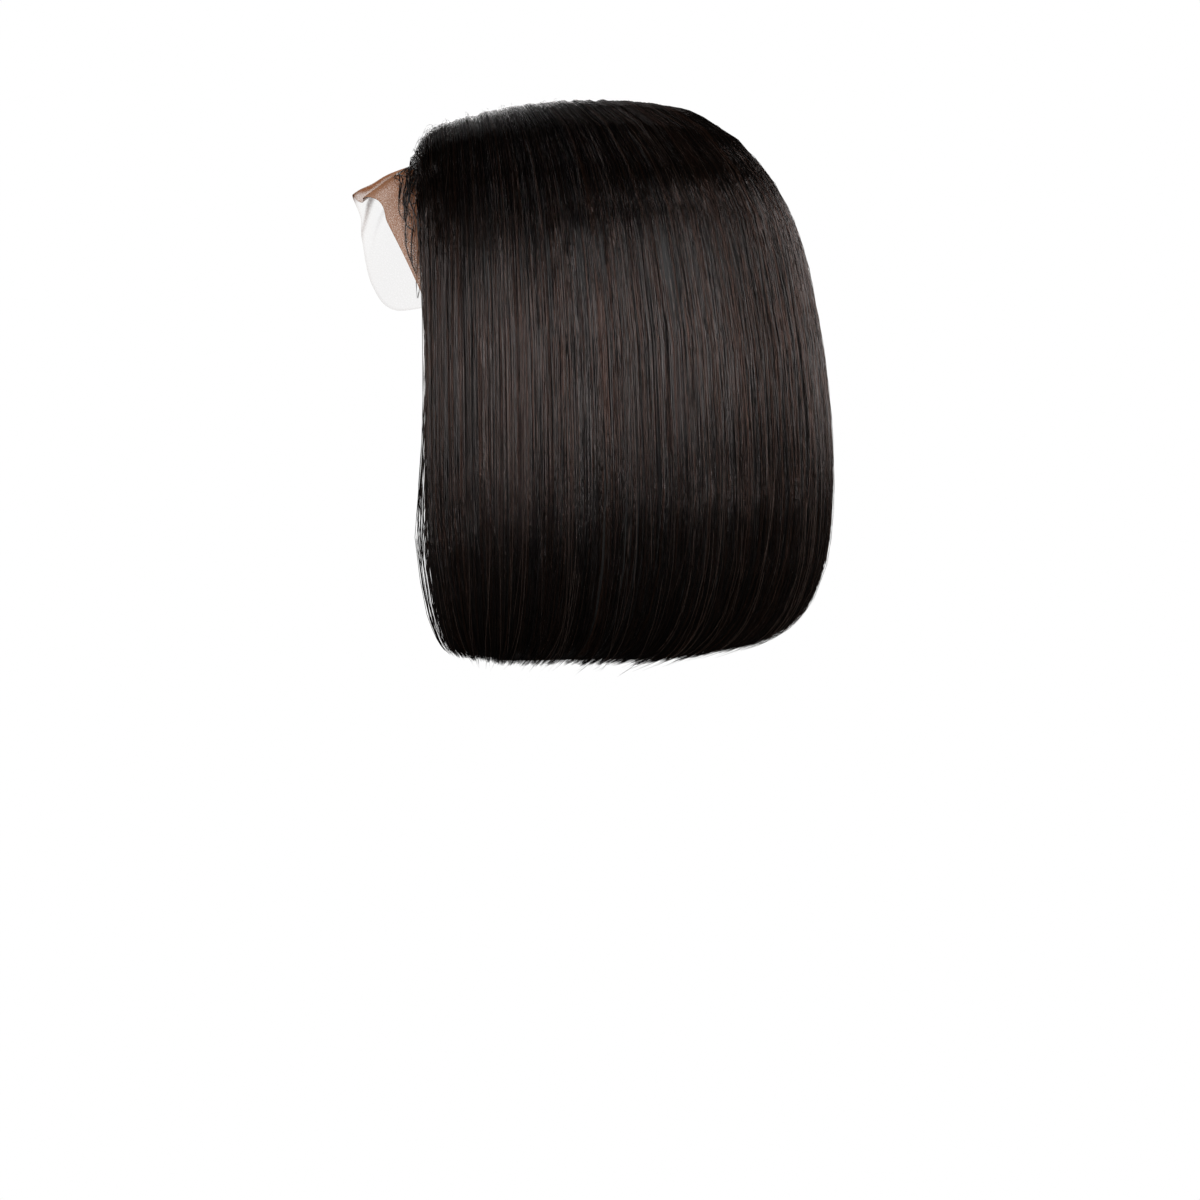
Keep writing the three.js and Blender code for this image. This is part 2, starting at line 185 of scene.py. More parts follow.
# Where the lace and the cap end below the parting, as a share of CAP_DEPTH.
COVER_EDGE = named(
    "share depth",
    (0.0, 0.3),
    (0.06, 0.42),
    (0.13, 0.6),
    (0.21, 0.64),
    (0.32, 0.6),
    (0.5, 0.64),
    (0.65, 0.78),
    (0.8, 0.93),
    (1.0, 0.98),
)

# The free edge of the lace from the right temple over the forehead to the left temple: shares of
# LACE_SPREAD, LACE_REACH and LACE_DROP from the front of the parting.
LACE_EDGE = named(
    "across side reach drop",
    (-1.0, -1.0, -0.1, 1.0),
    (-0.8, -0.9, 0.45, 1.02),
    (-0.6, -0.62, 0.76, 0.86),
    (-0.35, -0.33, 0.86, 0.56),
    (-0.12, -0.11, 0.97, 0.28),
    (-0.02, -0.02, 0.97, 0.22),
    (0.08, 0.07, 0.95, 0.27),
    (0.3, 0.27, 0.62, 0.27),
    (0.5, 0.53, 0.43, 0.45),
    (0.75, 0.84, 0.16, 0.7),
    (1.0, 1.0, -0.14, 1.0),
)

# Crumples of the loose margin: where each runs, its half-width and its share of LACE_FOLD.
LACE_FOLDS = named(
    "across spread height",
    (-0.62, 0.14, -0.2),
    (-0.4, 0.12, 0.2),
    (-0.22, 0.1, -0.3),
    (-0.06, 0.1, 0.1),
    (0.1, 0.1, -0.7),
    (0.24, 0.1, 0.5),
    (0.4, 0.12, -0.4),
)

# The steps from one row of a table to the next once it is smooth, the row at which the wall under
# the strands starts, and how near its points have to be to be joined.
SMOOTH_STEPS = 16
BASE_TOP = 0.9
WELD = 0.01 * MM

# Where a strand's points lie between its root at 0 and its end at 1, closer in the bends.
STRAND_STOPS = np.array([0, 0.4, 1, 2, 3.2, 4.7, 6.2, 8, 10, 11.6, 13, 14.2, 15.2, 16.1, 17]) / 17
LOOSE_STOPS = np.linspace(0, 1, 9)
INNER_STOPS = np.array([0, 0.14, 0.3, 0.46, 0.6, 0.72, 0.82, 0.91, 1])

# The two sides of the wig, and whether each is the mirror image.
SIDES = ((False, "left"), (True, "right"))


def mix(a, b, share):
    """A share of the way from a to b."""
    return a + (b - a) * share


def ease(value, low, high):
    """0 below low, 1 above high and smooth between them."""
    share = np.clip((value - low) / (high - low), 0, 1)
    return share * share * (3 - 2 * share)


def smooth(table):
    """A table with smooth rows added between its own."""
    rows = len(next(iter(table.values())))
    at = np.linspace(0, rows - 1, (rows - 1) * SMOOTH_STEPS + 1)
    low = np.minimum(at.astype(int), rows - 2)
    t = at - low
    finer = {}
    for name, column in table.items():
        slope = np.gradient(column)
        finer[name] = (
            (2 * t**3 - 3 * t**2 + 1) * column[low]
            + (t**3 - 2 * t**2 + t) * slope[low]
            + (3 * t**2 - 2 * t**3) * column[low + 1]
            + (t**3 - t**2) * slope[low + 1]
        )
    return finer, at


head_form, _ = smooth(HEAD_FORM)
hair_form, hair_rows = smooth(HAIR_FORM)
lace_edge, _ = smooth(LACE_EDGE)
cover_edge, _ = smooth(COVER_EDGE)


def by_row(name, row):
    """A column of the hair's table at any place between its rows, and straight on past its end."""
    column = hair_form[name]
    inside = np.interp(row, hair_rows, column)
    last = -1 - SMOOTH_STEPS
    slope = (column[-1] - column[last]) / (hair_rows[-1] - hair_rows[last])
    return inside + np.maximum(row - ENDS, 0) * slope


def read(table, key, at, column):
    """A column of a table, where its key column is at a value."""
    return np.interp(at, table[key], table[column])


def stack(x, y, z):
    return np.stack(np.broadcast_arrays(x, y, z), axis=-1)


def unit(vectors):
    return vectors / np.maximum(np.linalg.norm(vectors, axis=-1, keepdims=True), 1e-12)


def parting_at(share):
    """y and z of a strand's root on the parting. All behind the crown start at the crown."""
    y = mix(PARTING_FRONT_Y, PARTING_BACK_Y, np.clip(share / CROWN_SHARE, 0, 1))
    front = PARTING_FRONT_DROP * np.maximum(y / PARTING_FRONT_Y, 0) ** PARTING_FRONT_BOW
    back = PARTING_BACK_DROP * np.maximum(y / PARTING_BACK_Y, 0) ** PARTING_BACK_BOW
    return y, -front - back


def angle_of(share):
    """The way a strand falls, round from straight ahead at 0 to straight back at pi."""
    return mix(FRONT_ANGLE, np.pi, share)


def fall_y(angle, back_reach):
    """How far forward or back the form is where it is widest, below the parting."""
    reach = np.where(angle < np.pi / 2, HEAD_FRONT_REACH, back_reach)
    return HEAD_WIDEST_Y - reach * np.cos(angle)


def head_at(share, depth):
    """A point of the left side of the head, at a share of CAP_DEPTH below the parting."""
    y, z = parting_at(share)
    angle = angle_of(share)
    side = read(head_form, "depth", depth, "side")
    back = read(head_form, "depth", depth, "back")
    return stack(
        HEAD_HALF_WIDTH * side * np.sin(angle),
        mix(y, fall_y(angle, HEAD_BACK_REACH), back),
        z - depth * CAP_DEPTH,
    )


def parted(share):
    """How open the parting is: it closes at the crown."""
    return 1 - np.clip(share / CROWN_SHARE, 0, 1) ** LIFT_BOW


def hem_z(share):
    """How low a strand ends."""
    side = mix(FRONT_HEM_Z, SIDE_HEM_Z, ease(share, 0, FRONT_SHARE))
    return mix(side, BACK_HEM_Z, ease(share, SEAM_SHARE, 1))


def hair_at(share, row):
    """A point of the smooth outside of the hair of the left side."""
    y, z = parting_at(share)
    angle = angle_of(share)
    depth = ROOT_DEPTH + FRONT_LIFT * np.maximum(y / PARTING_FRONT_Y, 0) ** LIFT_BOW
    top = z + HAIR_INSET + depth * mix(1, by_row("lift", row), parted(share))
    tuck = FRONT_TUCK * by_row("tuck", row) * (1 - ease(share, 0, FRONT_SHARE))
    side = HAIR_HALF_WIDTH * by_row("side", row) * np.sin(angle)
    return stack(
        np.maximum(side, PARTING_HALF_GAP * parted(share)),
        mix(y, fall_y(angle, HAIR_BACK_REACH), by_row("back", row)) + tuck,
        mix(top, hem_z(share), by_row("fall", row)),
    )


def hair_out(share, row):
    """The unit vector out of the hair."""
    row = np.maximum(row, 0.3)
    near = 0.01
    down = hair_at(share, row + 0.1) - hair_at(share, row - 0.1)
    back = hair_at(share + near, row) - hair_at(share - near, row)
    return unit(np.cross(down, back))


def head_out(share, depth):
    """The unit vector out of the head."""
    near = 0.01
    depth = np.maximum(depth, 0.004)
    down = head_at(share, depth + 0.004) - head_at(share, depth - 0.004)
    back = head_at(share + near, depth) - head_at(share - near, depth)
    return unit(np.cross(down, back))


def over_head(share, depth, height):
    """A point that stands off the head by a height."""
    return head_at(share, depth) + head_out(share, depth) * height


def hang_depth(share, row):
    """How deep the hair is where it hangs free."""
    side = mix(FRONT_DEPTH, SIDE_DEPTH, ease(share, 0, FRONT_SHARE / 2))
    return mix(side, BACK_DEPTH, ease(share, SEAM_SHARE, 1)) * by_row("deep", row)


def hair_inside(share, row):
    """A point of the inside of the hair."""
    _, z = parting_at(share)
    depth = np.minimum(by_row("fall", row) * (z - hem_z(share)) / CAP_DEPTH, 1)
    lying = over_head(share, depth, HAIR_INSET)
    out = hair_out(share, row)
    hanging = hair_at(share, row) - out * hang_depth(share, row)[..., None]
    point = mix(lying, hanging, by_row("hang", row)[..., None])
    point[..., 0] = np.maximum(point[..., 0], PARTING_HALF_GAP * parted(share) * (row < 0.5))
    return point


def hair_top(share, row):
    """The outside of the hair, which thins out to its front edge."""
    full = read(EDGE_FULLNESS, "share", share, "full")
    return mix(hair_inside(share, row), hair_at(share, row), full[..., None])


def flip(points):
    """The same points on the other side."""
    return points * np.array([-1.0, 1.0, 1.0])


def ripple(seed, finest, coarsest, waves=7):
    """A smooth wavy function of a strand's share and row, from -1 to 1 or so."""
    dice = np.random.default_rng(seed)
    across = dice.uniform(coarsest, finest, waves)
    along = dice.uniform(-0.06, 0.06, waves)
    phase = dice.uniform(0, 2 * np.pi, waves)

    def height(share, row):
        angle = 2 * np.pi * (share[..., None] * across + row[..., None] * along) + phase
        return np.sin(angle).sum(axis=-1) / np.sqrt(waves / 2) / 1.6

    return height


lock_ripple = ripple(3, 34, 12)


def deselect():
    for thing in bpy.context.selected_objects:
        thing.select_set(False)


# Materials

# The unevenness of the hair, fine and coarse: cells a metre along x, y and z, and height.
HAIR_BUMPS = (((900, 900, 300), 0.6), ((230, 230, 28), 2.1))

# The colours of the strands, from the darkest tone at 0 to the lightest at 1.
DARK_STOPS = [
    (0.0, (0.0005, 0.0004, 0.0003)),
    (0.6, (0.001, 0.0007, 0.0006)),
    (1.0, (0.004, 0.0026, 0.002)),
]
BROWN_STOPS = [(0.0, (0.0015, 0.0009, 0.0007)), (1.0, (0.013, 0.0065, 0.0042))]
# Single hairs that stand off are lighter: their own brown, and partly painted sheen.
STRAY_SHEEN_STOPS = [(0.0, (0.005, 0.0034, 0.0028)), (1.0, (0.04, 0.028, 0.023))]


def new_material(name, roughness, specular):
    """A material with its nodes, links and shader."""
    material = bpy.data.materials.new(name)
    material.use_nodes = True
    shader = material.node_tree.nodes["Principled BSDF"]
    shader.inputs["Roughness"].default_value = roughness
    shader.inputs["Specular IOR Level"].default_value = specular
    return material, material.node_tree.nodes, material.node_tree.links, shader


def ramp(nodes, stops):
    """A colour ramp through places and their colours."""
    node = nodes.new("ShaderNodeValToRGB")
    node.color_ramp.elements[0].position = stops[0][0]
    node.color_ramp.elements[0].color = (*stops[0][1], 1)
    node.color_ramp.elements[1].position = stops[-1][0]
    node.color_ramp.elements[1].color = (*stops[-1][1], 1)
    for place, colour in stops[1:-1]:
        node.color_ramp.elements.new(place).color = (*colour, 1)
    return node


def hair_material(name, gloss, roughness, specular, stops):
    """One kind of strand. Its tone picks a colour of the stops, and gloss tints its shine."""
    material, nodes, links, shader = new_material(name, roughness, specular)
    shader.inputs["Specular Tint"].default_value = (*gloss, 1)
    tone = nodes.new("ShaderNodeAttribute")
    tone.attribute_name = "tone"
    colour = ramp(nodes, stops)
    links.new(tone.outputs["Fac"], colour.inputs["Fac"])
    links.new(colour.outputs["Color"], shader.inputs["Base Color"])
    height = None
    for cells, share in HAIR_BUMPS:
        coords = nodes.new("ShaderNodeTexCoord")
        stretch = nodes.new("ShaderNodeMapping")
        stretch.inputs["Scale"].default_value = cells
        noise = nodes.new("ShaderNodeTexNoise")
        noise.inputs["Scale"].default_value = 1
        noise.inputs["Detail"].default_value = 2
        add = nodes.new("ShaderNodeMath")
        add.operation = "MULTIPLY_ADD"
        add.inputs[1].default_value = share
        add.inputs[2].default_value = 0
        links.new(coords.outputs["Object"], stretch.inputs["Vector"])
        links.new(stretch.outputs["Vector"], noise.inputs["Vector"])
        links.new(noise.outputs["Fac"], add.inputs[0])
        if height:
            links.new(height, add.inputs[2])
        height = add.outputs["Value"]
    bump = nodes.new("ShaderNodeBump")
    bump.inputs["Strength"].default_value = 0.6
    bump.inputs["Distance"].default_value = 0.0006
    links.new(height, bump.inputs["Height"])
    links.new(bump.outputs["Normal"], shader.inputs["Normal"])
    return material


def hair_base_material():
    """The dark wall under the strands, with fine lines down its length."""
    material, nodes, links, shader = new_material("hair_underlayer", 0.5, 0.3)
    coords = nodes.new("ShaderNodeUVMap")
    coords.uv_map = "UVMap"
    stretch = nodes.new("ShaderNodeMapping")
    stretch.inputs["Scale"].default_value = (420, 3, 1)
    noise = nodes.new("ShaderNodeTexNoise")
    noise.inputs["Scale"].default_value = 1
    noise.inputs["Detail"].default_value = 3
    links.new(coords.outputs["UV"], stretch.inputs["Vector"])
    links.new(stretch.outputs["Vector"], noise.inputs["Vector"])
    colour = ramp(nodes, [(0.3, (0.001, 0.0008, 0.0007)), (0.7, (0.003, 0.002, 0.0018))])
    links.new(noise.outputs["Fac"], colour.inputs["Fac"])
    links.new(colour.outputs["Color"], shader.inputs["Base Color"])
    bump = nodes.new("ShaderNodeBump")
    bump.inputs["Strength"].default_value = 0.8
    bump.inputs["Distance"].default_value = 0.0006
    links.new(noise.outputs["Fac"], bump.inputs["Height"])
    links.new(bump.outputs["Normal"], shader.inputs["Normal"])
    return material


def net_pattern(nodes, links, cells_a_metre):
    """A fine net: 1 on its threads and 0 in its holes."""
    coords = nodes.new("ShaderNodeTexCoord")
    cells = nodes.new("ShaderNodeTexVoronoi")
    cells.feature = "DISTANCE_TO_EDGE"
    cells.inputs["Scale"].default_value = cells_a_metre
    cells.inputs["Randomness"].default_value = 0.95
    links.new(coords.outputs["Object"], cells.inputs["Vector"])
    threads = nodes.new("ShaderNodeMapRange")
    threads.inputs["From Min"].default_value = 0.06
    threads.inputs["From Max"].default_value = 0.18
    threads.inputs["To Min"].default_value = 1
    threads.inputs["To Max"].default_value = 0
    links.new(cells.outputs["Distance"], threads.inputs["Value"])
    return threads


def lace_material():
    """Sheer tan lace: a fine net, fuller where it is gathered, with painted shade browning its creases.
    """
    material, nodes, links, shader = new_material("sheer_tan_lace", 0.75, 0.2)
    threads = net_pattern(nodes, links, 740)
    # The attribute read here holds painted shade in the creases, over a browner tint on the left.
    brown_and_crease_shade = nodes.new("ShaderNodeAttribute")
    brown_and_crease_shade.attribute_name = "brown_and_crease_shade"
    brown = nodes.new("ShaderNodeMath")
    brown.operation = "MULTIPLY_ADD"
    brown.inputs[1].default_value = 0.3
    links.new(threads.outputs["Result"], brown.inputs[0])
    links.new(brown_and_crease_shade.outputs["Fac"], brown.inputs[2])
    colour = ramp(nodes, [(0.0, (0.46, 0.245, 0.14)), (1.0, (0.2, 0.07, 0.026))])
    links.new(brown.outputs["Value"], colour.inputs["Fac"])
    links.new(colour.outputs["Color"], shader.inputs["Base Color"])
    cover = nodes.new("ShaderNodeAttribute")
    cover.attribute_name = "cover"
    full = nodes.new("ShaderNodeMath")
    full.operation = "MULTIPLY_ADD"
    full.inputs[1].default_value = 0.3
    links.new(threads.outputs["Result"], full.inputs[0])
    full.inputs[2].default_value = 0.82
    alpha = nodes.new("ShaderNodeMath")
    alpha.operation = "MULTIPLY"
    alpha.use_clamp = True
    links.new(full.outputs["Value"], alpha.inputs[0])
    links.new(cover.outputs["Fac"], alpha.inputs[1])
    links.new(alpha.outputs["Value"], shader.inputs["Alpha"])
    return material


def cap_material():
    """Black stretch net."""
    material, nodes, links, shader = new_material("black_cap_net", 0.8, 0.2)
    threads = net_pattern(nodes, links, 700)
    colour = ramp(nodes, [(0.0, (0.004, 0.0035, 0.003)), (1.0, (0.03, 0.025, 0.022))])
    links.new(threads.outputs["Result"], colour.inputs["Fac"])
    links.new(colour.outputs["Color"], shader.inputs["Base Color"])
    bump = nodes.new("ShaderNodeBump")
    bump.inputs["Strength"].default_value = 0.6
    bump.inputs["Distance"].default_value = 0.0003
    links.new(threads.outputs["Result"], bump.inputs["Height"])
    links.new(bump.outputs["Normal"], shader.inputs["Normal"])
    return material


# The kinds of strand: glossy, dull, reddish brown, and the lighter brown of single hairs that stand off,
# which is their own colour and partly painted sheen.
HAIR_KINDS = [
    hair_material("natural_black_hair", (1, 0.9, 0.88), 0.2, 0.64, DARK_STOPS),
    hair_material("dull_black_hair", (0.28, 0.24, 0.23), 0.34, 0.5, DARK_STOPS),
    hair_material("dark_brown_hair", (1, 0.62, 0.52), 0.22, 0.55, BROWN_STOPS),
    hair_material("stray_brown_hair_painted_sheen", (1, 0.75, 0.66), 0.3, 0.7, STRAY_SHEEN_STOPS),
]

# The share of each kind in the hair, in the hairs that stand off it and in those on the lace.
KIND_SHARES = (0.45, 0.27, 0.28, 0)
STRAY_SHARES = (0.3, 0, 0.2, 0.5)
BABY_SHARES = (0.1, 0.6, 0.3, 0)

HAIR_BASE = hair_base_material()
LACE = lace_material()
CAP_NET = cap_material()


# Strands


def strands(name, paths, out, radius, tone, shares=KIND_SHARES, sides=3):
    """One mesh of many strands, each a thin closed tube with a fine end."""
    count, points, _ = paths.shape
    kind = np.random.default_rng(count).choice(len(HAIR_KINDS), count, p=shares)
    along = unit(np.gradient(paths, axis=1))
    across = unit(np.cross(along, out))
    up = np.cross(across, along)
    turn = np.linspace(0, 2 * np.pi, sides, endpoint=False) + np.pi / 2
    ring = (
        across[:, :, None, :] * np.cos(turn)[None, None, :, None]
        + up[:, :, None, :] * np.sin(turn)[None, None, :, None]
    )
    places = paths[:, :, None, :] + ring * radius[:, :, None, None]
    first = (np.arange(count) * points * sides)[:, None, None]
    row = (np.arange(points - 1) * sides)[None, :, None]
    side = np.arange(sides)[None, None, :]
    after = (side + 1) % sides
    quads = np.stack(
        [
            first + row + side,
            first + row + after,
            first + row + sides + after,
            first + row + sides + side,
        ],
        axis=-1,
    ).reshape(-1, 4)
    starts = first[:, 0] + np.arange(sides)[::-1]
    ends = first[:, 0] + (points - 1) * sides + np.arange(sides)
    corners = np.concatenate([quads.ravel(), starts.ravel(), ends.ravel()])
    sizes = np.concatenate([np.full(len(quads), 4), np.full(2 * count, sides)])
    mesh = bpy.data.meshes.new(name)
    mesh.vertices.add(count * points * sides)
    mesh.vertices.foreach_set("co", places.astype(np.float32).ravel())
    mesh.loops.add(len(corners))
    mesh.loops.foreach_set("vertex_index", corners.astype(np.int32))
    mesh.polygons.add(len(sizes))
    loop_starts = np.concatenate([[0], np.cumsum(sizes)[:-1]])
    mesh.polygons.foreach_set("loop_start", loop_starts.astype(np.int32))
    mesh.polygons.foreach_set("use_smooth", np.ones(len(sizes), bool))
    mesh.update(calc_edges=True)
    shade = mesh.attributes.new("tone", "FLOAT", "POINT")
    shade.data.foreach_set("value", np.repeat(tone, points * sides).astype(np.float32))
    for material in HAIR_KINDS:
        mesh.materials.append(material)
    kinds = np.concatenate([np.repeat(kind, (points - 1) * sides), kind, kind])
    mesh.polygons.foreach_set("material_index", kinds.astype(np.int32))
    piece = bpy.data.objects.new(name, mesh)
    bpy.context.scene.collection.objects.link(piece)
    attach(piece, "root")
    return piece


def taper(points, root=0.7, end=0.3):
    """How a strand's thickness runs from its root to its end."""
    at = np.linspace(0, 1, points)
    return np.minimum(mix(root, 1, ease(at, 0, 0.1)), mix(1, end, ease(at, 0.82, 1)))


def clump_of(share):
    """The clump that a strand is in: its number, and the share of its middle."""
    number = np.round(share / CLUMP)
    middle = (number + 0.35 * np.sin(7.3 * number)) * CLUMP
    nearest = np.abs(share[..., None] - EDGE_LOCKS).argmin(axis=-1)
    return number, np.where(share < EDGE_GAPS, EDGE_LOCKS[nearest], middle)


def outer_hair(name, start, end, count, mirror, seed, node):
    """The visible layers of hair between two strands of one side."""
    dice = np.random.default_rng(seed)
    share = start + (end - start) * (np.arange(count) + dice.uniform(0, 1, count)) / count
    # All root side by side, and those at the front are drawn back from the edge further down.
    root_share = share
    share = share + (start < EDGE) * np.maximum(EDGE - share, 0) * dice.uniform(0.3, 1.2, count)
    # Late ones root further down. The locks in front of the edge take strands from behind it.
    late = dice.uniform(0, 1, count) < 0.35 + 0.4 * ease(share, 0.75, 0.9)
    first = np.where(late, dice.uniform(0.3, 6.0, count), 0.0)
    forward = (share < EDGE) * dice.uniform(0, 1, count) ** 1.7 * EDGE_SPREAD
    number, middle = clump_of(share - forward)
    # Each clump has a level of its own, which goes into its length, its depth and its tone.
    level = 0.5 + 0.5 * np.sin(4.7 * number + seed)
    tips = ENDS + 0.05 + 0.1 * dice.normal(size=count) - 0.14 * dice.exponential(1, count)
    tips = tips + 0.35 * (level - 0.5)
    shorter = 0.45 * dice.exponential(1, count)
    tips = tips - shorter * (1 - ease(share, EDGE, EDGE_GAPS)) * (start < EDGE)
    row = first[:, None] + (tips - first)[:, None] * STRAND_STOPS[None, :]
    along = row / ENDS
    stray = np.where(dice.uniform(0, 1, count) < STRAYS, 1.0, 0.0)[:, None]
    # Clumps draw together towards the ends, most of all at the front edge, where gaps open.
    edge = 1 - ease(share[:, None], EDGE, EDGE_GAPS)
    pull = dice.uniform(0, 1, (count, 1))
    pull = mix(mix(0.1, 0.75, pull), mix(0.55, 0.98, pull), edge) * (1 - stray)
    joined = ease(along, mix(0.1, OPENING[0], edge), mix(1, OPENING[1], edge))
    share = share[:, None] + (middle - share)[:, None] * pull * joined
    share = mix(root_share[:, None], share, ease(row, 0, 3.5))
    # Each strand also drifts and waves on its own, strays most of all.
    drift = (0.0012 + 0.006 * stray) * dice.normal(size=(count, 1)) * along**1.5
    wave = np.sin(row * dice.uniform(0.35, 1.1, (count, 1)) + dice.uniform(0, 7, (count, 1)))
    bend = (0.0007 + 0.002 * stray) * wave * ease(along, 0, 0.3)
    share = np.clip(share + drift + bend * mix(1, 2.2, edge), -0.07, 1)
    # How deep it lies: in a layer that is thinner where the locks part, with strays on top.
    deep = 2.2 * MM * mix(1, 0.15, edge * ease(along, *OPENING))
    depth = dice.uniform(0.0, 1.0, (count, 1)) ** 1.2 * deep * (1 - stray) - 0.6 * MM
    depth = depth + 0.4 * MM * (1 + lock_ripple(share, row)) + 0.5 * MM * level[:, None]
    depth = depth + 0.4 * MM * (1 + wave) * dice.uniform(0, 1, (count, 1)) * ease(row, 1, 4)
    swing = np.sin(row * (0.8 + 0.4 * np.sin(2.9 * number))[:, None] + (5.3 * number)[:, None])
    depth = depth + 0.45 * MM * (1 + swing) * ease(row, 2, 6) * (1 - edge)
    # Every strand starts below the others and rises among them.
    lift = ease(row, first[:, None], first[:, None] + np.where(late, 2.5, 1.2)[:, None])
    sunk = np.where(late, 3.2, 0.3)[:, None] * MM * (1 - lift)
    depth = (depth * ease(row, 0, 1.5) + sunk) * read(EDGE_FULLNESS, "share", share, "full")
    out = hair_out(share, row)
    paths = hair_top(share, row) - out * depth[..., None]
    # Behind the lace the parting is closed by the hair itself.
    closed = PARTING_HALF_GAP * parted(share) * ease(share, SEAM_SHARE - 0.06, SEAM_SHARE)
    paths[..., 0] = paths[..., 0] - closed * (1 - ease(row, 0, 2))
    paths[..., 0] = np.maximum(paths[..., 0], 0.4 * MM * parted(share))
    if mirror:
        paths, out = flip(paths), flip(out)
    thick = mix(dice.uniform(0.085, 0.175, (count, 1)), 0.17, edge) * MM
    thick = thick * taper(len(STRAND_STOPS))[None, :]
    # Strays get a lighter tone, which is partly painted sheen.
    tone = 0.36 + 0.3 * dice.normal(size=count) + 0.15 * (level - 0.5) + 0.5 * stray[:, 0]
    piece = strands(name, paths, out, thick, np.clip(tone, 0, 1))
    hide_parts(node)


def inner_hair(name, start, end, count, mirror, seed, node):
    """The layer of hair that shows from inside, below the cap."""
    dice = np.random.default_rng(seed)
    share = start + (end - start) * (np.arange(count) + dice.uniform(0, 1, count)) / count
    first = dice.uniform(5.5, 7.5, count)
    tips = ENDS + 0.4 * dice.normal(size=count) - 0.3
    row = first[:, None] + (tips - first)[:, None] * INNER_STOPS[None, :]
    share = np.clip(share[:, None] + 0.003 * dice.normal(size=(count, 1)) * (row / ENDS), 0.001, 1)
    out = hair_out(share, row)
    height = 1.4 * MM * dice.uniform(0, 1, (count, 1)) - 0.4 * MM
    paths = hair_inside(share, row) + out * (height * np.ones_like(row))[..., None]
    if mirror:
        paths, out = flip(paths), flip(out)
    thick = dice.uniform(0.16, 0.26, (count, 1)) * MM * taper(len(INNER_STOPS))[None, :]
    tone = np.clip(0.4 + 0.2 * dice.normal(size=count), 0, 1)
    piece = strands(name, paths, -out, thick, tone)
    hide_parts(node)


def loose_hair(name, paths, out, dice, finest, boldest, tone, node, shares=KIND_SHARES):
    """A piece of single hairs, with radii from finest to boldest in millimetres."""
    count, points, _ = paths.shape
    thick = dice.uniform(finest, boldest, (count, 1)) * MM
    thick = thick * taper(points, root=0.8, end=0.1)[None, :]
    tones = np.clip(tone + 0.2 * dice.normal(size=count), 0, 1)
    piece = strands(name, paths, out, thick, tones, shares)
    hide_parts(node)


def side_hairs(kind, paths, out, left, dice, finest, boldest, tone):
    """Single hairs of one kind, in a piece for the left side and one for the right."""
    for mirror, side in SIDES:
        mine = left != mirror
        node = f"side_hair_{side}"
        loose_hair(f"{node}_{kind}", paths[mine], out[mine], dice, finest, boldest, tone, node)


def over_hair(share, row, height, left):
    """Points over the outside of the hair, on the left side or the right one."""
    out = hair_out(share, row)
    paths = hair_top(share, row) + out * height[..., None]
    side = np.where(left, 1.0, -1.0)[:, None]
    paths[..., 0] *= side
    out[..., 0] *= side
    return paths, out


def front_wisps(count=40):
    """Single strands in front of the edge of the hair, which thin out and curl at their ends."""
    dice = np.random.default_rng(41)
    left = np.arange(count) % 2 == 0
    t = STRAND_STOPS[None, :]
    share = dice.uniform(-0.06, 0.03, (count, 1))
    share = mix(share, clump_of(share)[1], dice.uniform(0, 1, (count, 1)))
    first = dice.uniform(0.0, 5.0, (count, 1))
    tips = ENDS + dice.normal(size=(count, 1)) * 0.5 - dice.exponential(1, (count, 1)) * 0.7
    row = first + (tips - first) * t
    start = np.maximum(share, 0.0) + 0.01 * dice.uniform(0, 1, (count, 1))
    spread = mix(start, share, ease(row / ENDS, *OPENING))
    wave = np.sin(row * dice.uniform(0.4, 1.3, (count, 1)) + dice.uniform(0, 7, (count, 1)))
    spread = spread + 0.0045 * wave * ease(row / ENDS, 0.2, 0.8)
    height = -dice.uniform(0.2, 3.0, (count, 1)) * MM + 0.5 * MM * wave - 2 * MM * (1 - ease(t, 0, 0.1))
    paths, out = over_hair(spread, row, height, left)
    side_hairs("wisps", paths, out, left, dice, 0.1, 0.2, 0.35)


def frizz(count=280):
    """Short fine hairs that stand up along the front of the parting and the hairline."""
    dice = np.random.default_rng(42)
    left = np.arange(count) % 2 == 0
    t = LOOSE_STOPS[None, :]
    share = dice.uniform(0, 1, (count, 1)) ** 2 * 0.45 + 0.003
    first = dice.uniform(0.2, 3.6, (count, 1))
    row = first + dice.uniform(0.3, 1.6, (count, 1)) * t
    turn = dice.normal(size=(count, 1)) * 0.012
    bend = dice.normal(size=(count, 1)) * 0.008
    spread = np.maximum(share + turn * t + bend * np.sin(3 * t), -0.012)
    height = dice.uniform(0.6, 2.2, (count, 1)) * MM * np.sin(np.pi * 0.62 * t) - 1.2 * MM * (1 - t) ** 2
    paths, out = over_hair(spread, row, height, left)
    side_hairs("frizz", paths, out, left, dice, 0.05, 0.09, 0.4)


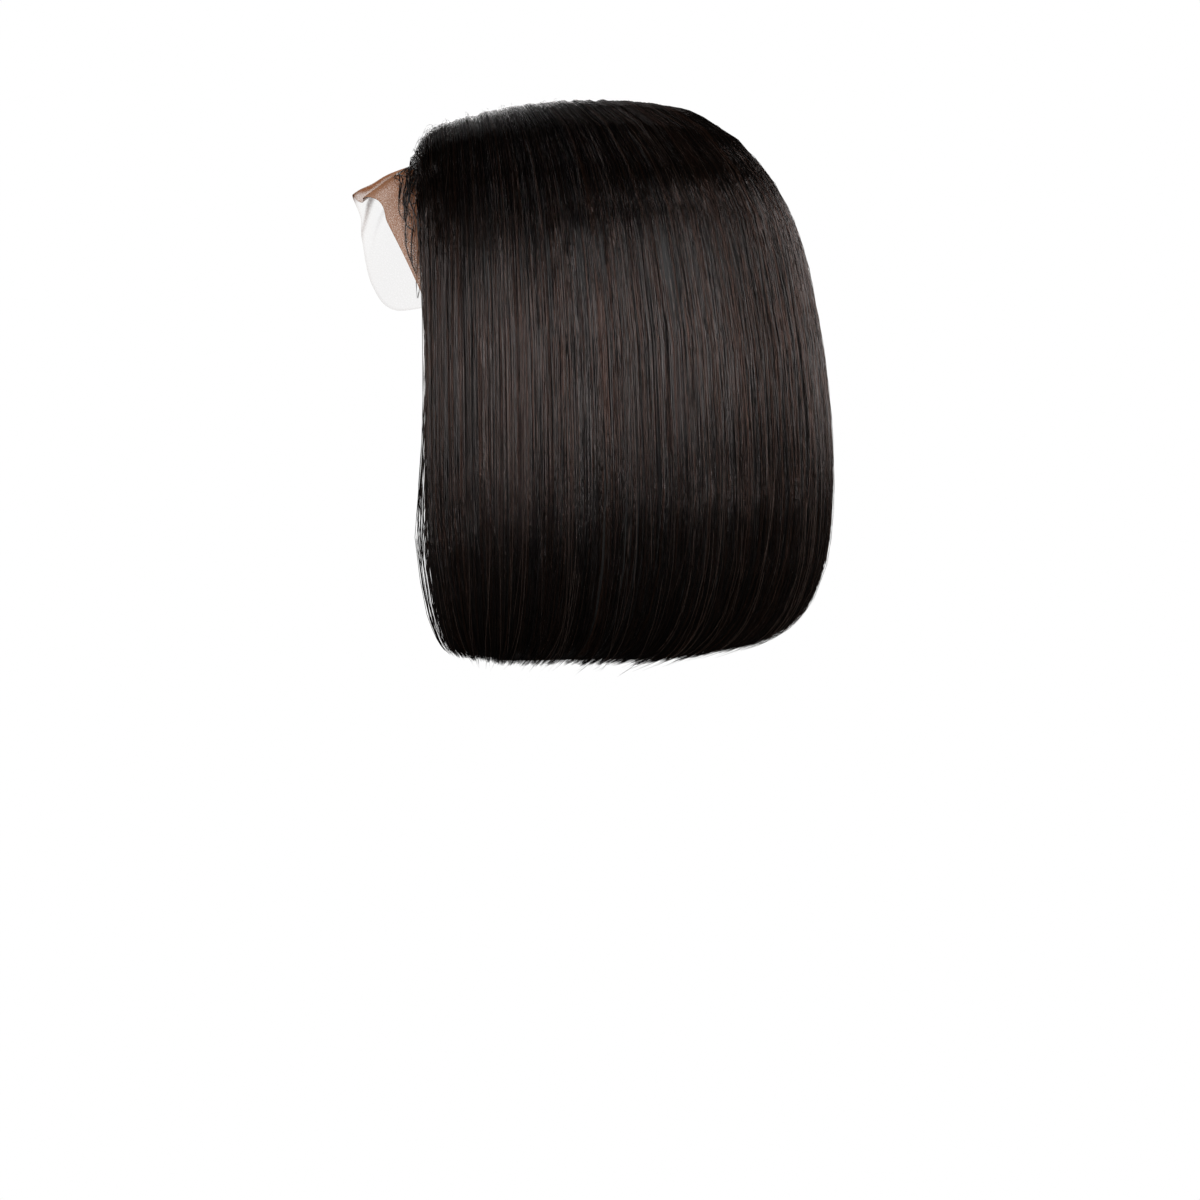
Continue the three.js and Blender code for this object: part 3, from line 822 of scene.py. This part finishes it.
def flyaways(count=420):
    """Long fine hairs that rise out of the hair and stand off it towards its ends."""
    dice = np.random.default_rng(43)
    left = np.arange(count) % 2 == 0
    t = STRAND_STOPS[None, :]
    share = dice.uniform(0.01, 0.995, (count, 1))
    first = dice.uniform(1.0, 12.0, (count, 1))
    tips = np.minimum(first + dice.uniform(3, 16, (count, 1)), ENDS + 0.3 * dice.normal(size=(count, 1)))
    row = first + (tips - first) * t
    wave = np.sin(row * dice.uniform(0.3, 0.8, (count, 1)) + dice.uniform(0, 7, (count, 1)))
    spread = np.clip(share + 0.016 * dice.normal(size=(count, 1)) * t**1.5 + 0.006 * wave * t, -0.01, 1)
    height = dice.uniform(0.0, 1.1, (count, 1)) ** 2 * MM * np.sin(np.pi * 0.6 * t)
    height = height - 1.2 * MM * (1 - t) ** 3
    # They stand off further below, least of all at the front edge and at the back.
    stand = dice.uniform(0, 1, (count, 1)) ** 2 * 0.7 * np.maximum(row - 10.5, 0) ** 1.5
    stand = np.minimum(stand, 4) * MM * ease(share, 0.0, 0.1)
    height = height + stand * mix(1, 0.2, ease(share, 0.45, 0.6))
    paths, out = over_hair(spread, row, height, left)
    for low, high, node in ((0.0, SEAM_SHARE, "side_hair"), (SEAM_SHARE, 1.0, "back_hair")):
        here = (share[:, 0] >= low) & (share[:, 0] < high)
        for mirror, side in SIDES:
            mine = here & (left != mirror)
            name = f"{node}_{side}_flyaways"
            stands_for = f"side_hair_{side}" if node == "side_hair" else node
            loose_hair(name, paths[mine], out[mine], dice, 0.06, 0.13, 0.5, stands_for, STRAY_SHARES)


def hairline(count=420):
    """Strands that are knotted on the lace at the front of the parting and sweep back over the hair."""
    dice = np.random.default_rng(45)
    left = np.arange(count) % 2 == 0
    t = STRAND_STOPS[None, :]
    across = dice.uniform(0, 1, (count, 1)) ** 1.8 * 0.75 + 0.01
    ahead = dice.uniform(0, 1, (count, 1)) ** 1.5 * mix(0.1, 0.06, across)
    root = lace_margin(ahead, across)
    share = dice.uniform(0.012, EDGE_GAPS + 0.01, (count, 1))
    first = 1.2 + 5.5 * across
    row = first + (ENDS - 0.3 - 0.5 * dice.exponential(1, (count, 1)) - first) * t
    share = mix(share, clump_of(share)[1], 0.93 * ease(row / ENDS, *OPENING))
    sunk = dice.uniform(0, 1.6, (count, 1)) * mix(1, 0.2, ease(row / ENDS, *OPENING)) * ease(t, 0.1, 0.5)
    paths, out = over_hair(share, row, -(0.2 + sunk) * MM, left)
    root[..., 0] *= np.where(left, 1.0, -1.0)[:, None]
    joined = ease(t, 0, 0.2)[..., None]
    rise = mix(3.4 * MM, 1.0 * MM, ease(across, 0, 0.25)) * np.sin(np.pi * np.clip(t / 0.2, 0, 1))
    paths = mix(root, paths, joined) + out * rise[..., None]
    side_hairs("hairline", paths, out, left, dice, 0.09, 0.15, 0.3)


def baby_hair(fine=64, bold=27):
    """Curved hairs that are knotted on the lace at the hairline and lie over it, single and in wisps."""
    dice = np.random.default_rng(44)
    count = fine + bold
    single = (np.arange(count) < fine)[:, None]
    left = (np.arange(count) % 5 < 3)[:, None]
    t = STRAND_STOPS[None, :]
    # There is more of it on the left, and it spreads and curls more there.
    start = dice.uniform(0, 1, (count, 1)) ** 1.5 * 0.5 + 0.02
    length = np.where(single, dice.uniform(0.2, 0.6, (count, 1)), dice.uniform(0.4, 0.9, (count, 1)))
    across = mix(start, np.minimum(start + length, 0.97), t)
    lane = np.where(left, dice.uniform(0.0, 10.5, (count, 1)), dice.uniform(0.5, 3.0, (count, 1))) * MM
    turns = dice.uniform(0.6, 1.9, (count, 1))
    wave = np.sin(2 * np.pi * (t * turns + dice.uniform(0, 1, (count, 1))))
    curl = np.where(left, 1.9, 0.4) * MM * wave * ease(t, 0, 0.3)
    away = lane * ease(t, -0.02, 0.4) * (1 - 0.6 * ease(across, 0.2, 0.9)) + curl
    width = LACE_REACH * read(lace_edge, "across", across, "reach") + 3 * MM
    ahead = np.clip(away / width, 0.0, 0.8)
    points = lace_margin(ahead, np.where(left, 1, -1) * across)
    out = unit(points - HEAD_MIDDLE)
    height = 0.6 * MM + 0.6 * MM * np.sin(np.pi * t) * dice.uniform(0, 1, (count, 1))
    paths = points + out * height[..., None]
    for name, mine, finest, boldest, tone in (
        ("lace_front_baby_hair", single[:, 0], 0.06, 0.1, 0.6),
        ("lace_front_baby_wisps", ~single[:, 0], 0.22, 0.36, 0.5),
    ):
        loose_hair(name, paths[mine], out[mine], dice, finest, boldest, tone, "lace_front", BABY_SHARES)


def grid_piece(name, columns, rows, place, material):
    """A grid primitive with each vertex moved to place(u, v), u and v from 0 to 1."""
    deselect()
    bpy.ops.mesh.primitive_grid_add(x_subdivisions=columns, y_subdivisions=rows, size=1)
    piece = bpy.context.object
    piece.name = name
    piece.data.name = name
    flat = np.empty(len(piece.data.vertices) * 3, np.float32)
    piece.data.vertices.foreach_get("co", flat)
    flat = flat.reshape(-1, 3).astype(float)
    points = place(flat[:, 0] + 0.5, flat[:, 1] + 0.5)
    piece.data.vertices.foreach_set("co", points.astype(np.float32).ravel())
    piece.data.polygons.foreach_set("use_smooth", np.ones(len(piece.data.polygons), bool))
    piece.data.materials.append(material)
    piece.data.update()
    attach(piece, "root")
    return piece


def close(piece):
    """Joins the edges of a grid that meet, fills its open ends and turns its faces outwards."""
    bpy.ops.object.mode_set(mode="EDIT")
    bpy.ops.mesh.select_all(action="SELECT")
    bpy.ops.mesh.remove_doubles(threshold=WELD)
    bpy.ops.mesh.select_all(action="SELECT")
    bpy.ops.mesh.fill_holes(sides=0)
    bpy.ops.mesh.select_all(action="SELECT")
    bpy.ops.mesh.normals_make_consistent(inside=False)
    bpy.ops.object.mode_set(mode="OBJECT")
    return piece


def base_depth(share, row):
    """How far the wall lies below the outside of the hair."""
    depth = mix(2.8, 0.9, ease(row, ENDS - 2.5, ENDS - 0.4)) * MM + 0.5 * MM * lock_ripple(share, row)
    depth = depth + 2.2 * MM * (1 - ease(row, 1.5, 5))
    return depth * read(EDGE_FULLNESS, "share", share, "full")


def hair_shell(share, around):
    """A point of the wall under the strands: down its outside to 1 and up its inside to 2."""
    inside = around > 1
    row = mix(BASE_TOP, ENDS - 0.06, np.where(inside, 2 - around, around))
    outer = hair_top(share, row) - hair_out(share, row) * base_depth(share, row)[..., None]
    inner = hair_inside(share, row) + hair_out(share, row) * 0.6 * MM
    meet = ease(np.abs(around - 1), 0, 0.05)[..., None]
    middle = (outer + inner) / 2
    point = mix(middle, np.where(inside[..., None], inner, outer), meet)
    top = ease(row, BASE_TOP, BASE_TOP + 0.4)[..., None]
    return mix(mix(outer, inner, 0.8), point, top)


def side_hair_base(name, mirror, node):
    """The wall under the strands of one side, set back where the locks of the edge part."""

    def place(u, v):
        low = ease(1 - np.abs(v * 2 - 1), 0.48, 0.62)
        share = mix(mix(EDGE, EDGE_GAPS, low), SEAM_SHARE - HALF_SEAM, u)
        points = hair_shell(share, v * 2)
        return flip(points) if mirror else points

    piece = close(grid_piece(name, 72, 91, place, HAIR_BASE))
    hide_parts(node)


def back_hair_base():
    """The wall under the strands of the back, from the left seam round to the right one."""

    def place(u, v):
        share = 1 - np.abs(2 * u - 1) * (1 - SEAM_SHARE - HALF_SEAM)
        points = hair_shell(share, v * 2)
        points[..., 0] *= np.where(u < 0.5, 1, -1)
        return points

    piece = close(grid_piece("back_hair_base", 121, 91, place, HAIR_BASE))
    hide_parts("back_hair")


# Cap and lace


def cover_depth(share):
    """How far down the lace and the cap reach, as a share of CAP_DEPTH."""
    return read(cover_edge, "share", share, "depth")


def cap_net():
    """The net of the cap, from the left seam round to the right one."""

    def place(u, v):
        share = 1 - np.abs(2 * u - 1) * (1 - SEAM_SHARE - HALF_SEAM)
        points = over_head(share, v**2 * cover_depth(share), NET_HEIGHT)
        points[..., 0] *= np.where(u < 0.5, 1, -1)
        return points

    piece = grid_piece("cap_net", 81, 41, place, CAP_NET)
    wall = piece.modifiers.new("wall", "SOLIDIFY")
    wall.thickness = CAP_WALL
    wall.offset = 0
    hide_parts("cap")


def lace_panel(share, across):
    """A point of the lace on the head, from -1 at its right end over the parting to 1 at its left."""
    points = over_head(share, across**2 * cover_depth(share), NET_HEIGHT)
    points[..., 0] *= np.where(across < 0, -1, 1)
    return points


def crumple(across):
    """How far the crumples stand out, as a share of LACE_FOLD."""
    total = np.zeros_like(across)
    for place, spread, height in zip(*LACE_FOLDS.values()):
        away = np.minimum(np.abs(across - place) / spread, 1)
        total = total + height * (1 - ease(away, 0, 1))
    return total


def lace_margin(ahead, across):
    """A point of the loose margin, from 0 ahead at the hairline to 1 at its free edge."""
    root = lace_panel(np.zeros_like(across), across)
    edge = stack(
        LACE_SPREAD * read(lace_edge, "across", across, "side"),
        PARTING_FRONT_Y - LACE_REACH * read(lace_edge, "across", across, "reach"),
        -PARTING_FRONT_DROP - LACE_DROP * read(lace_edge, "across", across, "drop"),
    )
    point = mix(root, edge, ahead[..., None])
    out = unit(point - HEAD_MIDDLE)
    bulge = LACE_BULGE * 4 * ahead * (1 - ahead) * (1 - across**2)
    pleats = 0.9 * MM * fan(across, ahead) * np.exp(-((across / 0.3) ** 2))
    height = bulge + LACE_FOLD * ahead * crumple(across) + pleats * ease(ahead, 0.05, 0.5)
    return point + out * height[..., None]


def read_uv(mesh):
    """u and v of each vertex of a grid."""
    corner = np.empty(len(mesh.loops), np.int32)
    mesh.loops.foreach_get("vertex_index", corner)
    flat = np.empty(len(mesh.loops) * 2, np.float32)
    mesh.uv_layers["UVMap"].data.foreach_get("uv", flat)
    uv = np.zeros((len(mesh.vertices), 2))
    uv[corner] = flat.reshape(-1, 2)
    return uv[:, 0], uv[:, 1]


def write_attribute(mesh, name, values):
    """Stores a number from 0 to 1 for each vertex."""
    layer = mesh.attributes.new(name, "FLOAT", "POINT")
    layer.data.foreach_set("value", np.clip(values, 0, 1).astype(np.float32))


def fan(across, ahead):
    """The creases of the margin, which fan out from the front of the parting."""
    return np.sin(11 * across / (0.14 + 0.3 * ahead) + 2.2 * ahead + 1.2 * np.sin(7 * ahead))


def lace_across(u):
    """From -1 at the right temple to 1 at the left, closer in the middle, where the creases are."""
    side = 2 * u - 1
    return mix(side, side**3, 0.5)


def lace():
    """The net of the lace, from the cap over the hairline to its free edge."""

    def place(u, v):
        across = lace_across(u)
        share = (SEAM_SHARE - HALF_SEAM) * np.clip(1 - v / HAIRLINE, 0, 1)
        ahead = np.clip((v - HAIRLINE) / (1 - HAIRLINE), 0, 1)
        return np.where((v < HAIRLINE)[..., None], lace_panel(share, across), lace_margin(ahead, across))

    piece = grid_piece("lace_front_net", 171, 65, place, LACE)
    u, v = read_uv(piece.data)
    across = lace_across(u)
    ahead = (v - HAIRLINE) / (1 - HAIRLINE)
    # The net looks full on the head and on the left of the loose margin, and thin on its right
    # and in its middle, apart from the creases and the hem.
    middle = np.exp(-(((across + 0.02) / 0.2) ** 2))
    left = ease(across, -0.2, -0.06)
    hem = mix(0.06, 0.15, left) * ease(ahead, 0.96, 1.0)
    loose = mix(0.06, mix(0.86, 0.64, ease(ahead, 0.1, 0.8)), left)
    loose = np.maximum(loose - 0.42 * middle * ease(ahead, 0.15, 0.5), 0.05)
    creases = np.maximum(fan(across, ahead), 0) ** 2.5 * middle
    margin_cover = mix(PANEL_COVER, loose + 0.75 * creases + hem, ease(ahead, 0, 0.1))
    write_attribute(piece.data, "cover", np.where(ahead < 0, PANEL_COVER, margin_cover))
    # Painted shade browns the creases. The net is also browner on the left, most of all towards the
    # temple, and less so towards the free edge.
    temple = ease(across, 0.05, 0.3)
    brown = 0.15 + (0.15 + 0.5 * temple) * left * (1 - 0.8 * ahead) + 0.55 * creases
    write_attribute(piece.data, "brown_and_crease_shade", brown)
    wall = piece.modifiers.new("wall", "SOLIDIFY")
    wall.thickness = LACE_WALL
    wall.offset = 0
    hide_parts("lace_front")
    return piece


# Each layer: its name, first and last share, number of strands, whether it is the mirror image,
# its seed and the solid that it stands for.
outer_hair("side_hair_left_strands", 0.0, SEAM_SHARE, 1900, False, 21, "side_hair_left")
outer_hair("side_hair_right_strands", 0.0, SEAM_SHARE, 1900, True, 22, "side_hair_right")
outer_hair("back_hair_left_strands", SEAM_SHARE, 1.0, 1700, False, 23, "back_hair")
outer_hair("back_hair_right_strands", SEAM_SHARE, 1.0, 1700, True, 24, "back_hair")
inner_hair("side_hair_left_inside", EDGE_GAPS, SEAM_SHARE, 500, False, 25, "side_hair_left")
inner_hair("side_hair_right_inside", EDGE_GAPS, SEAM_SHARE, 500, True, 26, "side_hair_right")
inner_hair("back_hair_left_inside", SEAM_SHARE, 1.0, 400, False, 27, "back_hair")
inner_hair("back_hair_right_inside", SEAM_SHARE, 1.0, 400, True, 28, "back_hair")
side_hair_base("side_hair_left_base", False, "side_hair_left")
side_hair_base("side_hair_right_base", True, "side_hair_right")
back_hair_base()
front_wisps()
frizz()
flyaways()
hairline()
baby_hair()
cap_net()
lace_piece = lace()


# Stage, light and camera

FLOOR_Z = -571 * MM
MIDDLE = (0, 0, -0.16)

# The camera looks at the wearer's left side. A pixel of the picture is PIXEL wide in the middle
# of the wig.
CAMERA_X = 2.0
CAMERA_Z = -258.6 * MM
PICTURE_PIXELS = 1200
PIXEL = 0.53 * MM
SENSOR_MM = 36


def floor():
    """A white floor that fades into the surroundings and throws no light up at the hair."""
    deselect()
    bpy.ops.mesh.primitive_circle_add(vertices=96, radius=6, fill_type="NGON", location=(0, 0, FLOOR_Z))
    ground = bpy.context.object
    ground.name = "floor"
    material, nodes, links, shader = new_material("white_floor", 0.9, 0.0)
    shader.inputs["Base Color"].default_value = (0.05, 0.05, 0.05, 1)
    glow = nodes.new("ShaderNodeEmission")
    glow.inputs["Strength"].default_value = 1.0
    path = nodes.new("ShaderNodeLightPath")
    both = nodes.new("ShaderNodeMixShader")
    links.new(path.outputs["Is Camera Ray"], both.inputs["Fac"])
    links.new(shader.outputs["BSDF"], both.inputs[1])
    links.new(glow.outputs["Emission"], both.inputs[2])
    links.new(both.outputs["Shader"], nodes["Material Output"].inputs["Surface"])
    ground.data.materials.append(material)


def soft_light(name, place, aim, size, watts):
    """A soft box that the camera does not see."""
    lamp = bpy.data.lights.new(name, "AREA")
    lamp.shape = "RECTANGLE"
    lamp.size, lamp.size_y = size
    lamp.energy = watts
    light = bpy.data.objects.new(name, lamp)
    bpy.context.scene.collection.objects.link(light)
    light.location = place
    light.visible_camera = False
    light.rotation_euler = (Vector(aim) - Vector(place)).to_track_quat("-Z", "Y").to_euler()


def world():
    """Surroundings that are white to the camera and nearly dark to the hair."""
    surroundings = bpy.data.worlds.new("studio")
    bpy.context.scene.world = surroundings
    surroundings.use_nodes = True
    nodes = surroundings.node_tree.nodes
    links = surroundings.node_tree.links
    back = nodes["Background"]
    back.inputs["Color"].default_value = (1, 1, 1, 1)
    back.inputs["Strength"].default_value = 0.012
    white = nodes.new("ShaderNodeBackground")
    white.inputs["Color"].default_value = (1, 1, 1, 1)
    white.inputs["Strength"].default_value = 1.0
    path = nodes.new("ShaderNodeLightPath")
    both = nodes.new("ShaderNodeMixShader")
    links.new(path.outputs["Is Camera Ray"], both.inputs["Fac"])
    links.new(back.outputs["Background"], both.inputs[1])
    links.new(white.outputs["Background"], both.inputs[2])
    links.new(both.outputs["Shader"], nodes["World Output"].inputs["Surface"])


def camera():
    """The camera of the picture."""
    lens = bpy.data.cameras.new("camera")
    lens.sensor_width = SENSOR_MM
    lens.lens = SENSOR_MM * CAMERA_X / (PICTURE_PIXELS * PIXEL)
    view = bpy.data.objects.new("camera", lens)
    bpy.context.scene.collection.objects.link(view)
    view.location = (CAMERA_X, 0, CAMERA_Z)
    view.rotation_euler = (np.pi / 2, 0, np.pi / 2)
    bpy.context.scene.camera = view


world()
camera()
floor()
# Each light: its name, place, aim, width and height, and watts.
soft_light("key_left", (2.3, 0.15, 0.54), MIDDLE, (2.4, 1.18), 67)
soft_light("key_right", (-2.3, 0.1, 0.62), MIDDLE, (2.0, 1.35), 40)
soft_light("front_fill", (0, -2.3, 0.62), MIDDLE, (1.6, 1.35), 36)
soft_light("back_fill", (0, 2.3, 0.62), MIDDLE, (1.6, 1.35), 30)
soft_light("low_back", (1.5, 1.75, 0.2), MIDDLE, (1.2, 0.5), 7)
soft_light("rim", (-1.6, -0.2, 1.5), MIDDLE, (1.4, 0.8), 2)
bpy.context.scene.view_settings.view_transform = "Standard"
